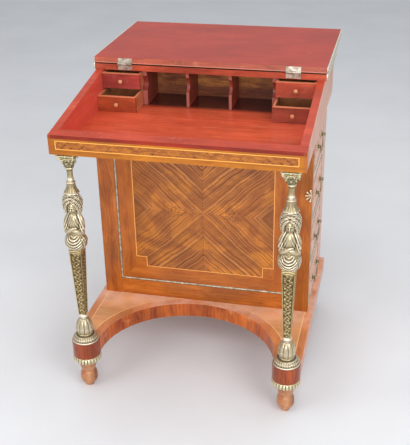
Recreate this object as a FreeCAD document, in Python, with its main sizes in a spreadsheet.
"""Davenport desk: a sloping writing box on a chest of side drawers and two bronze columns.

X runs across the desk, Y from the front to the back, Z up from the floor, in millimetres.
The desk stands as it is used: lid folded back flat on the top board, small drawers ajar.
"""
import FreeCAD
import Part
import os
import re
import Sketcher
from FreeCAD import Vector

# ---------------------------------------------------------------- driving dimensions
DIMENSIONS = [
    # writing box
    ("box_width", 600, "outside width of the writing box"),
    ("rail_height", 48, "inlaid front rail"),
    ("rail_thick", 29, ""),
    ("side_thick", 19, "sloping sides of the box"),
    ("floor_thick", 6, "floor of the writing well"),
    ("back_thick", 16, "back boards of box and case"),
    ("slope_run", 350, "front face to the hinge line"),
    ("slope_rise", 52, "rise of the sides over that run"),
    ("desk_depth", 580, "front face of the rail to the back"),
    ("top_thick", 16, "top board"),
    ("top_overhang", 3, "top board past the box at sides and back"),
    ("edging_thick", 4.5, "brass edging of top board and lid"),
    ("edging_height", 9, "brass edging on the lid"),
    ("edging_lip", 2, "underside of the top board to its edging"),
    ("edging_play", 0.3, "between the edging of the top board and the open lid"),
    ("edging_start", 6, "hinge line to the edging of the lid"),
    # lid
    ("lid_length", 382, "hinge edge to free edge"),
    ("lid_thick", 15.2, ""),
    ("lid_rest_gap", 2.2, "open lid above the top board"),
    ("edge_gap", 3.2, "between closed lid and top board, holds the hinge leaves"),
    ("hinge_inset", 80, "side of the desk to the middle of a hinge"),
    ("hinge_width", 38, ""),
    ("leaf_thick", 1.3, ""),
    ("leaf_stand", 0.8, "between a knuckle and the plates of the leaves"),
    ("fixed_leaf_lift", 2, "underside of the top board to the fixed leaf"),
    ("lid_leaf_margin", 1.5, "edge of the lid to its leaf"),
    ("knuckle_radius", 2.8, ""),
    ("knuckle_gap", 0.3, "between neighbouring knuckles"),
    ("knuckle_clear", 0.6, "round the knuckles in the wood"),
    ("knuckle_end_clear", 1, "past each end of a hinge in the wood"),
    ("pin_radius", 1.3, ""),
    # pigeonhole nest
    ("nest_setback", 12, "hinge line to the front of the nest"),
    ("nest_depth", 98, ""),
    ("nest_back_thick", 6, "board that closes the nest at the back"),
    ("divider_thick", 7.5, "upright boards between the pigeonholes"),
    ("outer_thick", 12, "upright boards beside the small drawers"),
    ("small_bay", 103, "width kept for the small drawers on each side"),
    ("shelf_thick", 5, "shelf between two small drawers"),
    ("upper_gap", 3.5, "above the upper small drawers"),
    ("small_wall", 5, "walls of the small drawers"),
    ("small_front", 9, "fronts of the small drawers"),
    ("small_room", 4, "behind a closed small drawer"),
    ("small_clear", 2, "over each small drawer"),
    ("knob_radius", 5.8, ""),
    ("knob_reach", 11, ""),
    ("upper_left_out", 24, "how far each small drawer stands out"),
    ("upper_right_out", 24, ""),
    ("lower_left_out", 70, ""),
    ("lower_right_out", 76, ""),
    # case with the side drawers
    ("case_inset", 12, "side of the writing box to the side of the case"),
    ("case_setback", 267, "front face of the rail to the front of the case"),
    ("case_height", 528.5, "top of the platform to the writing box"),
    ("case_board", 16, "boards of the case"),
    ("dust_thick", 12, "dust boards between the side drawers"),
    ("case_floor_thick", 8, "board under the lowest side drawer"),
    ("case_roof_thick", 14, "board over the highest side drawer"),
    ("guide_thick", 8, ""),
    ("rear_stile_width", 89, "stile behind the side drawers"),
    ("drawer_wall", 9, ""),
    ("drawer_bottom", 6, ""),
    ("drawer_back_room", 18, "behind a closed side drawer"),
    ("drawer_gap", 0.6, "round each drawer"),
    ("bead_width", 5, "brass bead frames"),
    ("bead_proud", 3.5, ""),
    ("bead_margin", 48, "edge of the panel to the bead frame"),
    ("bead_top_margin", 32, "top of the panel to the bead frame"),
    ("mount_reach", 20, "fan-shaped mount, from the corner of the case over the front stile"),
    ("mount_half_height", 24, ""),
    ("mount_proud", 5, ""),
    ("mount_height", 351, "middle of the fan above the platform"),
    # swinging handles of the side drawers
    ("plate_radius", 12, ""),
    ("plate_thick", 2, ""),
    ("ear_radius", 5, ""),
    ("ear_reach", 13, ""),
    ("ear_spread", 45, "middle of the drawer to an ear"),
    ("bail_radius", 2.4, ""),
    ("bail_drop", 26, ""),
    ("bail_clear", 2, "between the arm of a bail and the ear"),
    ("pivot_radius", 1.8, ""),
    ("pivot_gap", 0.3, "round the pivots of bails and lid"),
    # platform and feet
    ("platform_margin", 1, "platform past the writing box on each side"),
    ("platform_thick", 40, ""),
    ("platform_height", 145.5, "floor to the top of the platform"),
    ("drum_radius", 36, ""),
    ("drum_height", 45, "turned drum under a column, lower than the platform"),
    ("arm_setback", 6, "column line to the front of the platform's arms"),
    ("column_setback", 28, "front face of the rail to a column"),
    ("recess_setback", 12, "column line to the middle of the oval knee recess"),
    ("recess_ratio", 0.904, "depth of the oval over its half width"),
    ("ring_radius", 39, "gadrooned ring above a foot"),
    ("ring_height", 20.5, ""),
    ("tenon_radius", 12, "tenon of a foot through its ring"),
    ("tenon_length", 30, ""),
    ("foot_top_radius", 31, ""),
    ("foot_neck_radius", 18.5, ""),
    ("foot_neck_height", 36, ""),
    ("bulb_radius", 23, ""),
    ("bulb_half_height", 16, ""),
    ("bulb_lift", 1, "floor to the bulb of a foot"),
    ("toe_radius", 13, ""),
    ("toe_height", 7, ""),
    ("ring_inset", 1, "sides and back of the platform to the rings of the rear feet"),
    # columns, from the platform up
    ("socle_radius", 33, "foot of the bronze base"),
    ("socle_height", 15, ""),
    ("socle_step", 1, "between the foot plate and the slope above it"),
    ("vase_radius", 22, ""),
    ("vase_half_height", 24, ""),
    ("vase_neck_radius", 9.5, ""),
    ("vase_neck_height", 27, ""),
    ("collar_radius", 12.3, ""),
    ("collar_thick", 5, "half height of the roll"),
    ("herm_low_width", 18, "tapered shaft of the column"),
    ("herm_top_width", 32, ""),
    ("hip_radius", 28, ""),
    ("hip_rise", 40, "shaft to the hips"),
    ("waist_radius", 21, ""),
    ("chest_radius", 25, ""),
    ("chest_rise", 42, "hips to the chest"),
    ("head_radius", 20, ""),
    ("head_rise", 56, "chest to the middle of the head"),
    ("veil_rise", 56, "middle of the head to the top of the veil"),
    ("veil_top_radius", 8.5, ""),
    ("neck_radius", 7.2, ""),
    ("neck_length", 38, "veil to the bell of the capital"),
    ("neck_roll", 3.5, "half height of the roll under the bell"),
    ("bell_length", 31.5, ""),
    ("bell_low_radius", 10, ""),
    ("bell_top_radius", 21, ""),
    ("abacus_width", 46, ""),
    ("abacus_thick", 13, ""),
]

# what follows from them; front_y is where the front rail's face lies in the part's own frame
WORKED_OUT = [
    ("half_box", "box_width / 2"),
    ("hinge_place", "half_box - hinge_inset"),
    ("slope_angle", "atan(slope_rise / slope_run)"),
    ("slope_per_mm", "slope_rise / slope_run"),
    ("box_bottom", "platform_height + case_height"),
    ("rail_top", "box_bottom + rail_height"),
    ("side_top", "rail_top + slope_rise"),
    ("board_top", "side_top + top_thick"),
    ("well_floor", "box_bottom + floor_thick"),
    ("ring_front", "ring_radius - column_setback"),
    ("front_y", "(ring_front - slope_run - lid_length - edging_thick) / 2"),
    ("back_y", "front_y + desk_depth"),
    ("hinge_y", "front_y + slope_run"),
    ("board_half", "half_box + top_overhang"),
    ("axis_y", "hinge_y - edge_gap / 2"),
    ("axis_z", "board_top + lid_rest_gap / 2"),
    ("lid_low", "board_top + lid_rest_gap"),
    ("lid_high", "lid_low + lid_thick"),
    ("nest_front", "hinge_y + nest_setback"),
    ("nest_height", "side_top - well_floor"),
    ("box_back_y", "back_y - back_thick"),
    ("nest_end", "nest_front + nest_depth"),
    ("small_depth", "nest_depth - small_room"),
    ("small_width", "small_bay - 2 * drawer_gap"),
    ("small_centre", "half_box - side_thick - small_bay / 2"),
    ("outer_face", "half_box - side_thick - small_bay"),
    ("outer_divider", "outer_face - outer_thick / 2"),
    ("pigeonhole", "2 * (outer_face - outer_thick - divider_thick) / 3"),
    ("inner_divider", "(pigeonhole + divider_thick) / 2"),
    ("small_slot", "(nest_height - shelf_thick - upper_gap) / 2"),
    ("small_high", "small_slot - drawer_gap - small_clear"),
    ("case_front", "front_y + case_setback"),
    ("case_half", "half_box - case_inset"),
    ("case_width", "2 * case_half"),
    ("case_inner", "case_half - case_board"),
    ("drawer_front_y", "case_front + case_board"),
    ("drawer_back_y", "back_y - rear_stile_width"),
    ("drawer_bay", "drawer_back_y - drawer_front_y"),
    ("drawer_pitch", "(case_height - case_floor_thick - case_roof_thick + dust_thick) / 4"),
    ("drawer_high", "drawer_pitch - dust_thick - 2 * drawer_gap"),
    ("drawer_floor", "platform_height + case_floor_thick + drawer_gap"),
    ("drawer_long", "case_half + case_inner - drawer_back_room"),
    ("platform_low", "platform_height - platform_thick"),
    ("platform_half", "half_box + platform_margin"),
    ("column_side", "platform_half - drum_radius"),
    ("column_y", "front_y + column_setback"),
    ("recess_half", "column_side - drum_radius"),
    ("recess_depth", "recess_half * recess_ratio"),
    ("arm_y", "column_y + arm_setback"),
    ("drum_low", "platform_height - drum_height"),
    ("ring_low", "drum_low - ring_height"),
    ("rear_foot_side", "platform_half - ring_radius - ring_inset"),
    ("rear_foot_y", "back_y - ring_radius - ring_inset"),
    ("vase_low", "platform_height + socle_height"),
    ("vase_top", "vase_low + vase_half_height"),
    ("collar_middle", "vase_top + vase_neck_height"),
    ("herm_low", "collar_middle + collar_thick"),
    ("bell_low", "box_bottom - abacus_thick - bell_length"),
    ("veil_top", "bell_low - neck_length"),
    ("head_middle", "veil_top - veil_rise"),
    ("chest", "head_middle - head_rise"),
    ("hips", "chest - chest_rise"),
    ("herm_top", "hips - hip_rise"),
    ("herm_length", "herm_top - herm_low"),
    ("pivot_x", "case_half + ear_reach - ear_radius"),
]

doc = FreeCAD.newDocument("davenport_desk")
dims = doc.addObject("Spreadsheet::Sheet", "dims")
worked = doc.addObject("Spreadsheet::Sheet", "worked")
SHEET_OF = {}


def formula(text):
    """The text with each size's name led by its sheet, as FreeCAD's expressions want it."""
    def lead(found):
        word = found.group(0)
        return f"{SHEET_OF[word]}.{word}" if word in SHEET_OF else word
    return re.sub(r"[a-z][a-z_0-9]*", lead, str(text))


def fill(sheet, rows, is_formula):
    for number, row in enumerate(rows, start=1):
        name, content = row[0], row[1]
        sheet.set(f"A{number}", name)
        sheet.set(f"B{number}", "=" + formula(content) if is_formula else str(content))
        sheet.setAlias(f"B{number}", name)
        SHEET_OF[name] = sheet.Name
        if len(row) > 2 and row[2]:
            sheet.set(f"C{number}", row[2])


fill(dims, DIMENSIONS, False)
fill(worked, WORKED_OUT, True)
doc.recompute()


def value(text):
    """What a formula comes to now, as a plain number."""
    return float(dims.evalExpression(formula(text)))


# ---------------------------------------------------------------- building blocks
def bound(kind, name, x, y, z, **sizes):
    """A Part primitive whose sizes and place follow the sheets."""
    piece = doc.addObject(kind, name)
    for size, text in sizes.items():
        piece.setExpression(size, formula(text))
    for axis, text in zip("xyz", (x, y, z)):
        piece.setExpression(f"Placement.Base.{axis}", formula(text))
    return piece


def box(name, x, y, z, dx, dy, dz):
    return bound("Part::Box", name, x, y, z, Length=dx, Width=dy, Height=dz)


def mirrored_box(name, side, x_inner, y, z, dx, dy, dz):
    """A box from x_inner outwards, on the left (-1) or right (+1) of the desk."""
    x = x_inner if side > 0 else f"-({x_inner}) - ({dx})"
    return box(name, x, y, z, dx, dy, dz)


def centred_box(name, x, y, z, dx, dy, dz):
    return box(name, f"({x}) - ({dx}) / 2", f"({y}) - ({dy}) / 2", z, dx, dy, dz)


def cylinder(name, x, y, z, radius, height):
    return bound("Part::Cylinder", name, x, y, z, Radius=radius, Height=height)


def cone(name, x, y, z, low_radius, top_radius, height):
    return bound("Part::Cone", name, x, y, z, Radius1=low_radius, Radius2=top_radius, Height=height)


def bulb(name, x, y, z, radius, half_height):
    return bound("Part::Ellipsoid", name, x, y, z, Radius1=half_height, Radius2=radius,
                 Radius3=radius)


def torus(name, x, y, z, radius, thickness):
    """A round moulding whose outer radius is given."""
    return bound("Part::Torus", name, x, y, z, Radius1=f"({radius}) - ({thickness})",
                 Radius2=thickness)


def rod(name, direction, x, y, z, radius, length):
    """A cylinder along X or Y, starting at the given place."""
    piece = cylinder(name, x, y, z, radius, length)
    turns = {"x": (Vector(0, 1, 0), 90), "y": (Vector(1, 0, 0), -90)}
    axis, angle = turns[direction]
    piece.Placement.Rotation = FreeCAD.Rotation(axis, angle)
    return piece


def fused(name, pieces):
    whole = doc.addObject("Part::MultiFuse", name)
    whole.Shapes = pieces
    return whole


def cut(name, base, tool):
    whole = doc.addObject("Part::Cut", name)
    whole.Base = base
    whole.Tool = tool
    return whole


def group(name, pieces):
    """Separate solids of one kind that share a node."""
    whole = doc.addObject("Part::Compound", name)
    whole.Links = pieces
    return whole


def prism(name, plane, start, length, corners):
    """A body padded from a closed outline whose corners are pairs of formulas.

    On YZ_Plane the corners are (y, z) and the pad runs along X from start, on XY_Plane they
    are (x, y) and it runs up from start.
    """
    body = doc.addObject("PartDesign::Body", name)
    sketch = body.newObject("Sketcher::SketchObject", name + "_outline")
    support = [o for o in body.Origin.OriginFeatures if o.Role == plane][0]
    sketch.AttachmentSupport = (support, [""])
    sketch.MapMode = "FlatFace"
    spots = [Vector(value(a), value(b), 0) for a, b in corners]
    count = len(spots)
    for i in range(count):
        sketch.addGeometry(Part.LineSegment(spots[i], spots[(i + 1) % count]), False)
    for i in range(count):
        sketch.addConstraint(Sketcher.Constraint("Coincident", i, 2, (i + 1) % count, 1))
    for i, corner in enumerate(corners):
        for kind, text in zip(("DistanceX", "DistanceY"), corner):
            number = sketch.addConstraint(Sketcher.Constraint(kind, -1, 1, i, 1, value(text)))
            sketch.setExpression(f"Constraints[{number}]", formula(text))
    pad = body.newObject("PartDesign::Pad", name + "_pad")
    pad.Profile = sketch
    pad.setExpression("Length", formula(length))
    sketch.Visibility = False
    along = "x" if plane == "YZ_Plane" else "z"
    body.setExpression(f"Placement.Base.{along}", formula(start))
    return body


NODES = []


def node(piece, name):
    piece.Label = name
    NODES.append(piece)
    return piece


SIDES = {"left": -1, "right": 1}


# ---------------------------------------------------------------- platform and feet
def make_platform():
    """Platform with the half-oval knee recess and seats for the drums and the rear tenons."""
    board = prism("platform_board", "XY_Plane", "platform_low", "platform_thick", [
        ("-platform_half", "arm_y"), ("platform_half", "arm_y"),
        ("platform_half", "back_y"), ("-platform_half", "back_y")])
    oval = bound("Part::Ellipse", "recess_outline", "0", "column_y + recess_setback",
                 "platform_low - 1",
                 MajorRadius="recess_half", MinorRadius="recess_depth")
    recess = doc.addObject("Part::Extrusion", "knee_recess")
    recess.Base = oval
    recess.DirMode = "Custom"
    recess.Dir = Vector(0, 0, 1)
    recess.Solid = True
    recess.setExpression("LengthFwd", formula("platform_thick + 2"))
    tools = [recess]
    for side, sign in SIDES.items():
        tools.append(cylinder(f"drum_seat_{side}", f"{sign} * column_side", "column_y",
                              "platform_low - 1", "drum_radius", "platform_thick + 2"))
        tools.append(cylinder(f"rear_mortise_{side}", f"{sign} * rear_foot_side", "rear_foot_y",
                              "platform_low - 1", "tenon_radius",
                              "ring_low + tenon_length - platform_low + 1"))
    node(cut("platform_cut", board, fused("platform_hollows", tools)), "platform")


def make_drum(side, sign):
    x = f"{sign} * column_side"
    solid = cylinder(f"drum_{side}_block", x, "column_y", "drum_low", "drum_radius",
                     "drum_height")
    hole = cylinder(f"drum_{side}_hole", x, "column_y", "drum_low - 1", "tenon_radius",
                    "tenon_length - ring_height + 1")
    return cut(f"drum_{side}_turned", solid, hole)


def make_foot(place, x, y):
    """Turned foot with a tenon that runs up through the bronze ring."""
    name = f"foot_{place}"
    pieces = [
        cylinder(name + "_toe", x, y, "0", "toe_radius", "toe_height"),
        bulb(name + "_bulb", x, y, "bulb_half_height + bulb_lift", "bulb_radius",
             "bulb_half_height"),
        cylinder(name + "_waist", x, y, "bulb_half_height", "foot_neck_radius",
                 "foot_neck_height - bulb_half_height"),
        cone(name + "_flare", x, y, "foot_neck_height", "foot_neck_radius", "foot_top_radius",
             "ring_low - foot_neck_height"),
        cylinder(name + "_tenon", x, y, "ring_low - 1", "tenon_radius", "tenon_length + 1"),
    ]
    node(fused(name + "_turned", pieces), name)


def make_ring(place, x, y):
    name = f"ring_{place}"
    body = fused(name + "_cast", [
        cylinder(name + "_band", x, y, "ring_low", "ring_radius - ring_height / 3", "ring_height"),
        torus(name + "_roll", x, y, "ring_low + ring_height / 2", "ring_radius",
              "ring_height / 2.05"),
    ])
    bore = cylinder(name + "_bore", x, y, "ring_low - 1", "tenon_radius", "ring_height + 2")
    return cut(name + "_bored", body, bore)


def make_pad(side, sign):
    """Disc that brings the platform down to the ring of a rear foot."""
    x, y = f"{sign} * rear_foot_side", "rear_foot_y"
    solid = cylinder(f"pad_{side}_disc", x, y, "drum_low", "drum_radius",
                     "drum_height - platform_thick")
    hole = cylinder(f"pad_{side}_hole", x, y, "drum_low - 1", "tenon_radius",
                    "drum_height - platform_thick + 2")
    return cut(f"pad_{side}_turned", solid, hole)


def make_stand():
    make_platform()
    rings = []
    for side, sign in SIDES.items():
        for row, across, along in (("front", "column_side", "column_y"),
                                   ("rear", "rear_foot_side", "rear_foot_y")):
            make_foot(f"{row}_{side}", f"{sign} * {across}", along)
            rings.append(make_ring(f"{row}_{side}", f"{sign} * {across}", along))
    node(group("drum_set", [make_drum(*row) for row in SIDES.items()]), "drums")
    node(group("pad_set", [make_pad(*row) for row in SIDES.items()]), "rear_pads")
    node(group("ring_set", rings), "foot_rings")


# ---------------------------------------------------------------- columns
def make_column(side, sign):
    x, y = f"{sign} * column_side", "column_y"
    node(fused(f"base_{side}", [
        cylinder(f"socle_{side}", x, y, "platform_height", "socle_radius", "socle_height / 3"),
        cone(f"socle_slope_{side}", x, y, "platform_height + socle_height / 3",
             "socle_radius - socle_step", "(socle_radius + vase_radius) / 2 - socle_step",
             "2 * socle_height / 3"),
        bulb(f"vase_{side}", x, y, "vase_low + vase_half_height / 2", "vase_radius",
             "vase_half_height"),
        cone(f"vase_neck_{side}", x, y, "vase_top", "vase_radius * 0.82", "vase_neck_radius",
             "vase_neck_height"),
        torus(f"collar_{side}", x, y, "collar_middle", "collar_radius", "collar_thick"),
        cylinder(f"collar_core_{side}", x, y, "collar_middle - collar_thick",
                 "collar_radius * 0.68", "2 * collar_thick"),
    ]), f"column_base_{side}")

    shaft = doc.addObject("Part::Wedge", f"herm_{side}")
    for size, text in {"Xmin": "0 - herm_low_width / 2", "Xmax": "herm_low_width / 2",
                       "Zmin": "0 - herm_low_width / 2", "Zmax": "herm_low_width / 2",
                       "X2min": "0 - herm_top_width / 2", "X2max": "herm_top_width / 2",
                       "Z2min": "0 - herm_top_width / 2", "Z2max": "herm_top_width / 2",
                       "Ymin": "0", "Ymax": "herm_length"}.items():
        shaft.setExpression(size, formula(text))
    shaft.Placement.Rotation = FreeCAD.Rotation(Vector(1, 0, 0), 90)
    for axis, text in zip("xyz", (x, y, "herm_low")):
        shaft.setExpression(f"Placement.Base.{axis}", formula(text))
    node(shaft, f"column_shaft_{side}")

    node(fused(f"figure_{side}", [
        cone(f"drapery_{side}", x, y, "herm_top", "herm_top_width / 2", "hip_radius", "hip_rise"),
        cone(f"waist_{side}", x, y, "hips", "hip_radius", "waist_radius", "chest_rise / 2"),
        bulb(f"chest_{side}", x, y, "chest", "chest_radius", "chest_rise * 0.62"),
        cylinder(f"throat_{side}", x, y, "chest", "head_radius * 0.6", "head_rise"),
        bulb(f"head_{side}", x, y, "head_middle", "head_radius", "head_radius * 1.25"),
        cone(f"veil_{side}", x, y, "head_middle", "head_radius * 0.98", "veil_top_radius",
             "veil_rise"),
    ]), f"column_figure_{side}")

    node(fused(f"capital_{side}_cast", [
        cylinder(f"capital_neck_{side}", x, y, "veil_top", "neck_radius", "bell_low - veil_top"),
        torus(f"capital_ring_{side}", x, y, "bell_low - neck_roll", "neck_radius + neck_roll",
              "neck_roll"),
        cone(f"capital_bell_{side}", x, y, "bell_low", "bell_low_radius", "bell_top_radius",
             "bell_length"),
        centred_box(f"abacus_{side}", x, y, "box_bottom - abacus_thick", "abacus_width",
                    "abacus_width", "abacus_thick"),
    ]), f"column_capital_{side}")


# ---------------------------------------------------------------- case
def make_bead_frame(name, box_of):
    """A rectangular frame of brass bead; box_of makes a box from its inset, depth and sinking."""
    outer = box_of(name + "_outer", "0", "bead_proud", "0")
    inner = box_of(name + "_inner", "bead_width", "bead_proud + 2", "1")
    node(cut(name + "_frame", outer, inner), name)


def make_case():
    floor = "platform_height"
    node(box("front_board", "-case_half", "case_front", floor, "case_width", "case_board",
             "case_height"), "front_panel")
    node(box("left_board", "-case_half", "drawer_front_y", floor, "case_board",
             "back_y - drawer_front_y", "case_height"), "left_side")
    node(box("case_back_board", "-case_inner", "back_y - back_thick", floor, "2 * case_inner",
             "back_thick", "case_height"), "case_back")
    node(box("rear_stile_board", "case_inner", "drawer_back_y", floor, "case_board",
             "rear_stile_width", "case_height"), "rear_stile")
    node(box("guide_board", "-case_inner", "drawer_back_y", floor, "2 * case_inner", "guide_thick",
             "case_height"), "drawer_guide")
    shelves = [(floor, "case_floor_thick"),
               ("box_bottom - case_roof_thick", "case_roof_thick")]
    shelves += [(f"{floor} + case_floor_thick + {i} * drawer_pitch - dust_thick", "dust_thick")
                for i in (1, 2, 3)]
    boards = [box(f"dust_board_{i}", "-case_inner", "drawer_front_y", low,
                  "case_inner + case_half", "drawer_bay", thick)
              for i, (low, thick) in enumerate(shelves)]
    node(group("dust_board_set", boards), "dust_boards")

    high = "case_height - bead_margin - bead_top_margin"

    def front_box(name, inset, proud, sunk):
        return box(name, f"bead_margin - case_half + {inset}", f"case_front - ({proud}) + {sunk}",
                   f"{floor} + bead_margin + {inset}", f"case_width - 2 * (bead_margin + {inset})",
                   proud, f"{high} - 2 * {inset}")

    def left_box(name, inset, proud, sunk):
        return box(name, f"-case_half - ({proud}) + {sunk}",
                   f"case_front + bead_margin + {inset}", f"{floor} + bead_margin + {inset}",
                   proud, f"back_y - case_front - 2 * (bead_margin + {inset})",
                   f"{high} - 2 * {inset}")

    make_bead_frame("front_bead", front_box)
    make_bead_frame("left_bead", left_box)

    middle = f"{floor} + mount_height"
    whole = bound("Part::Ellipsoid", "fan_whole", "case_half", "case_front", middle,
                  Radius1="mount_half_height", Radius2="mount_reach", Radius3="mount_proud")
    quarter = box("fan_quarter", "case_half - 2 * mount_reach", "case_front - 2 * mount_proud",
                  f"{middle} - 2 * mount_half_height", "2 * mount_reach", "2 * mount_proud",
                  "4 * mount_half_height")
    fan = doc.addObject("Part::MultiCommon", "fan")
    fan.Shapes = [whole, quarter]
    node(fan, "stile_mount")


def make_side_drawer(number):
    """Drawer that slides out to the right, its two brass plates and its swinging bail."""
    name = f"side_drawer_{number}"
    floor = f"drawer_floor + {number - 1} * drawer_pitch"
    left, near = "case_half - drawer_long", "drawer_front_y + drawer_gap"
    deep = "drawer_bay - 2 * drawer_gap"
    block = box(name + "_block", left, near, floor, "drawer_long", deep, "drawer_high")
    hollow = box(name + "_hollow", f"{left} + drawer_wall", f"{near} + drawer_wall",
                 f"{floor} + drawer_bottom", "drawer_long - drawer_wall - case_board",
                 f"{deep} - 2 * drawer_wall", "drawer_high")
    node(cut(name + "_tray", block, hollow), name)

    middle_y = "(drawer_front_y + drawer_back_y) / 2"
    pivot_z = f"{floor} + drawer_high / 2"
    fittings = []
    for place, sign in (("near", -1), ("far", 1)):
        y = f"{middle_y} + {sign} * ear_spread"
        solid = fused(f"{name}_{place}_fitting", [
            rod(f"{name}_{place}_plate", "x", "case_half", y, pivot_z, "plate_radius",
                "plate_thick"),
            rod(f"{name}_{place}_ear", "x", "case_half", y, pivot_z, "ear_radius", "ear_reach"),
        ])
        hole = rod(f"{name}_{place}_hole", "y", "pivot_x", f"{y} - 2 * ear_radius", pivot_z,
                   "pivot_radius + pivot_gap", "4 * ear_radius")
        fittings.append(cut(f"{name}_{place}_eye", solid, hole))
    node(group(name + "_fittings", fittings), f"side_plates_{number}")

    arm_y = "ear_spread - ear_radius - bail_radius - bail_clear"
    pieces = [rod(f"{name}_grip", "y", "pivot_x", f"{middle_y} - ({arm_y})",
                  f"{pivot_z} - bail_drop", "bail_radius", f"2 * ({arm_y})")]
    for place, sign in (("near", -1), ("far", 1)):
        y = f"{middle_y} + {sign} * ({arm_y})"
        start = y if sign > 0 else f"{y} - (ear_spread + ear_radius - ({arm_y}))"
        pieces += [
            cylinder(f"{name}_{place}_arm", "pivot_x", y, f"{pivot_z} - bail_drop", "bail_radius",
                     "bail_drop"),
            bulb(f"{name}_{place}_bend", "pivot_x", y, f"{pivot_z} - bail_drop", "bail_radius",
                 "bail_radius"),
            bulb(f"{name}_{place}_shoulder", "pivot_x", y, pivot_z, "bail_radius", "bail_radius"),
            rod(f"{name}_{place}_pivot", "y", "pivot_x", start, pivot_z, "pivot_radius",
                f"ear_spread + ear_radius - ({arm_y})"),
        ]
    node(fused(name + "_bail", pieces), f"side_bail_{number}")


# ---------------------------------------------------------------- writing box
def make_box():
    node(prism("rail_board", "YZ_Plane", "-half_box", "box_width", [
        ("front_y", "box_bottom"), ("front_y + rail_thick", "box_bottom"),
        ("front_y + rail_thick", "rail_top + rail_thick * slope_per_mm"),
        ("front_y", "rail_top")]), "front_rail")
    for side, sign in SIDES.items():
        start = "half_box - side_thick" if sign > 0 else "-half_box"
        node(prism(f"box_side_{side}_board", "YZ_Plane", start, "side_thick", [
            ("front_y + rail_thick", "box_bottom"), ("back_y", "box_bottom"),
            ("back_y", "side_top"), ("hinge_y", "side_top"),
            ("front_y + rail_thick", "rail_top + rail_thick * slope_per_mm")]),
            f"box_side_{side}")
    inside = "box_width - 2 * side_thick"
    node(box("well_floor_board", "side_thick - half_box", "front_y + rail_thick", "box_bottom",
             inside, "box_back_y - front_y - rail_thick", "floor_thick"), "well_bottom")
    node(box("box_back_board", "side_thick - half_box", "box_back_y", "box_bottom", inside,
             "back_thick", "side_top - box_bottom"), "box_back")
    board = box("top_plank", "-board_half", "hinge_y", "side_top", "2 * board_half",
                "desk_depth - slope_run + top_overhang", "top_thick")
    node(cut("top_with_recess", board, knuckle_room("board")), "top_board")
    make_edging("top_edging", "side_top + edging_lip",
                "top_thick - edging_lip + lid_rest_gap - edging_play", "hinge_y",
                "desk_depth - slope_run + top_overhang", "board_half")


def make_edging(name, z, height, y, length, half):
    """Brass strip round the two sides and the back edge of a board."""
    outer = box(name + "_outer", f"-({half}) - edging_thick", y, z,
                f"2 * ({half}) + 2 * edging_thick", f"{length} + edging_thick", height)
    inner = box(name + "_inner", f"-({half})", f"{y} - 1", f"{z} - 1", f"2 * ({half})",
                f"{length} + 1", f"{height} + 2")
    node(cut(name + "_strip", outer, inner), name)


# ---------------------------------------------------------------- lid and hinges
def knuckle_room(owner):
    """Hollows along the hinge line that the hinge knuckles turn in."""
    reach = "hinge_width + 2 * knuckle_end_clear"
    return fused(f"knuckle_room_{owner}", [
        rod(f"knuckle_room_{owner}_{side}", "x", f"{sign} * hinge_place - ({reach}) / 2", "axis_y",
            "axis_z", "knuckle_radius + knuckle_clear", reach) for side, sign in SIDES.items()])


def make_lid():
    """Lid at rest, folded back flat; its hinge edge is bevelled by the slope."""
    bevel = "(lid_high - axis_z) * tan(slope_angle)"
    tip = "(lid_low - axis_z) * tan(slope_angle)"
    far = "hinge_y + lid_length"
    panel = prism("lid_plank", "YZ_Plane", "-board_half", "2 * board_half", [
        (f"hinge_y + {tip}", "lid_low"), (far, "lid_low"), (far, "lid_high"),
        (f"hinge_y + {bevel}", "lid_high")])
    node(cut("lid_with_recess", panel, knuckle_room("lid")), "lid_panel")
    make_edging("lid_edging", "(lid_low + lid_high - edging_height) / 2", "edging_height",
                "hinge_y + edging_start", "lid_length - edging_start", "board_half")


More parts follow.
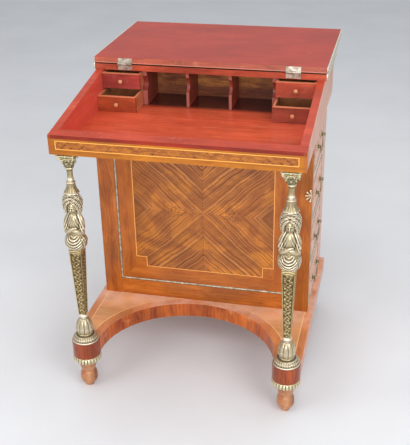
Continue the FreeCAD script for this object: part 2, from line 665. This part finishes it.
def make_hinges():
    """Butt hinges: leaves on the facing edges, one fixed knuckle between two of the lid's."""
    fixed, moving, pins = [], [], []
    for side, sign in SIDES.items():
        left = f"{sign} * hinge_place - hinge_width / 2"
        middle = "hinge_width / 3"
        room = "knuckle_radius + leaf_stand"
        plate_top = f"axis_z - ({room})"
        loose, tight = (rod(f"knuckle_bore_{side}_{fit}", "x", f"{left} - 1", "axis_y", "axis_z",
                            radius, "hinge_width + 2")
                        for fit, radius in (("loose", "pin_radius + pivot_gap"),
                                            ("tight", "pin_radius")))
        fixed_leaf = fused(f"fixed_leaf_{side}_solid", [
            box(f"fixed_plate_{side}", left, "hinge_y - leaf_thick",
                "side_top + fixed_leaf_lift", "hinge_width", "leaf_thick",
                f"{plate_top} - side_top - fixed_leaf_lift"),
            box(f"fixed_tab_{side}", f"{left} + {middle}", "hinge_y - leaf_thick",
                f"{plate_top} - 1", middle, "leaf_thick", f"{room} + 1 - knuckle_radius / 2"),
            rod(f"fixed_knuckle_{side}", "x", f"{left} + {middle}", "axis_y", "axis_z",
                "knuckle_radius", middle)])
        fixed.append(cut(f"fixed_leaf_{side}", fixed_leaf, loose))

        low, high = f"axis_z + {room}", "lid_high - lid_leaf_margin"
        lean = "hinge_y + (({0}) - axis_z) * tan(slope_angle)"
        outline = [(lean.format(low), low), (lean.format(high), high),
                   (lean.format(high) + " - leaf_thick", high),
                   (lean.format(low) + " - leaf_thick", low)]
        lid_leaf = [prism(f"lid_plate_{side}", "YZ_Plane", left, "hinge_width", outline)]
        for end in (0, 2):
            start = f"{left} + {end} * {middle}" + (" + knuckle_gap" if end else "")
            length = f"{middle} - knuckle_gap"
            lid_leaf += [
                rod(f"lid_knuckle_{side}_{end}", "x", start, "axis_y", "axis_z",
                    "knuckle_radius", length),
                prism(f"lid_tab_{side}_{end}", "YZ_Plane", start, length, [
                    (lean.format("axis_z + knuckle_radius / 2"), "axis_z + knuckle_radius / 2"),
                    (lean.format(f"{low} + 1"), f"{low} + 1"),
                    (lean.format(f"{low} + 1") + " - leaf_thick", f"{low} + 1"),
                    (lean.format("axis_z + knuckle_radius / 2") + " - leaf_thick",
                     "axis_z + knuckle_radius / 2")]),
            ]
        moving.append(cut(f"lid_leaf_{side}", fused(f"lid_leaf_{side}_solid", lid_leaf), tight))
        pins.append(rod(f"hinge_pin_{side}", "x", left, "axis_y", "axis_z", "pin_radius",
                        "hinge_width"))
    node(group("fixed_leaves", fixed), "hinge_leaves_fixed")
    node(group("lid_leaves", moving), "hinge_leaves_lid")
    node(group("pins", pins), "hinge_pins")


# ---------------------------------------------------------------- pigeonhole nest
def make_nest():
    dividers = []
    for label, thick in (("outer", "outer_thick"), ("inner", "divider_thick")):
        place = f"{label}_divider"
        for side, sign in SIDES.items():
            board = centred_box(f"divider_{label}_{side}_board", f"{sign} * {place}",
                                "nest_front + nest_depth / 2", "well_floor", thick,
                                "nest_depth", "nest_height")
            hollow = rod(f"divider_{label}_{side}_ogee", "x",
                         f"{sign} * {place} - {thick}", "nest_front - nest_height / 8",
                         "well_floor + nest_height * 0.62", "nest_height / 4",
                         f"2 * {thick}")
            dividers.append(cut(f"divider_{label}_{side}", board, hollow))
    node(group("divider_set", dividers), "nest_dividers")
    shelves = [mirrored_box(f"shelf_{side}", sign, "outer_face", "nest_front",
                            "well_floor + small_slot", "small_bay", "nest_depth", "shelf_thick")
               for side, sign in SIDES.items()]
    node(group("shelf_set", shelves), "nest_shelves")
    node(box("nest_back_board", "side_thick - half_box", "nest_end", "well_floor",
             "box_width - 2 * side_thick", "nest_back_thick", "nest_height"), "nest_back")


def make_small_drawer(level, side, sign):
    """Small drawer of the nest, standing ajar, and its turned knob."""
    name = f"{level}_{side}"
    rise = "0" if level == "lower" else "small_slot + shelf_thick"
    floor = f"well_floor + {rise} + drawer_gap"
    near = f"nest_front - {level}_{side}_out"
    x = f"{sign} * small_centre"
    block = box(f"{name}_block", f"{x} - small_width / 2", near, floor, "small_width",
                "small_depth", "small_high")
    hollow = box(f"{name}_hollow", f"{x} - small_width / 2 + small_wall", f"{near} + small_front",
                 f"{floor} + small_wall", "small_width - 2 * small_wall",
                 "small_depth - small_front - small_wall", "small_high")
    node(cut(f"{name}_tray", block, hollow), f"nest_drawer_{name}")
    height = f"{floor} + small_high / 2"
    stem = rod(f"{name}_stem", "y", x, f"{near} - knob_reach + knob_radius / 2", height,
               "knob_radius / 2", "knob_reach - knob_radius / 2")
    head = bound("Part::Ellipsoid", f"{name}_head", x, f"{near} - knob_reach + knob_radius / 2",
                 height, Radius1="knob_radius", Radius2="knob_radius", Radius3="knob_radius / 2")
    node(fused(f"{name}_knob", [stem, head]), f"nest_knob_{name}")


def check_everything():
    for piece in doc.Objects:
        bad = [s for s in piece.State if s in ("Invalid", "Error")]
        if bad:
            raise RuntimeError(f"{piece.Name} is {bad}")
    for piece in NODES:
        if piece.Shape.isNull() or not piece.Shape.isValid():
            raise RuntimeError(f"{piece.Label} has no valid shape")
        if not piece.Shape.Solids:
            raise RuntimeError(f"{piece.Label} has no solid")


make_stand()
for which, direction in SIDES.items():
    make_column(which, direction)
make_case()
for count in (1, 2, 3, 4):
    make_side_drawer(count)
make_box()
make_lid()
make_hinges()
make_nest()
for tier in ("lower", "upper"):
    for which, direction in SIDES.items():
        make_small_drawer(tier, which, direction)

doc.recompute()
check_everything()
os.makedirs("parts", exist_ok=True)
for piece in NODES:
    piece.Shape.exportStep(f"parts/{piece.Label}.step")
print(len(NODES), "nodes written")
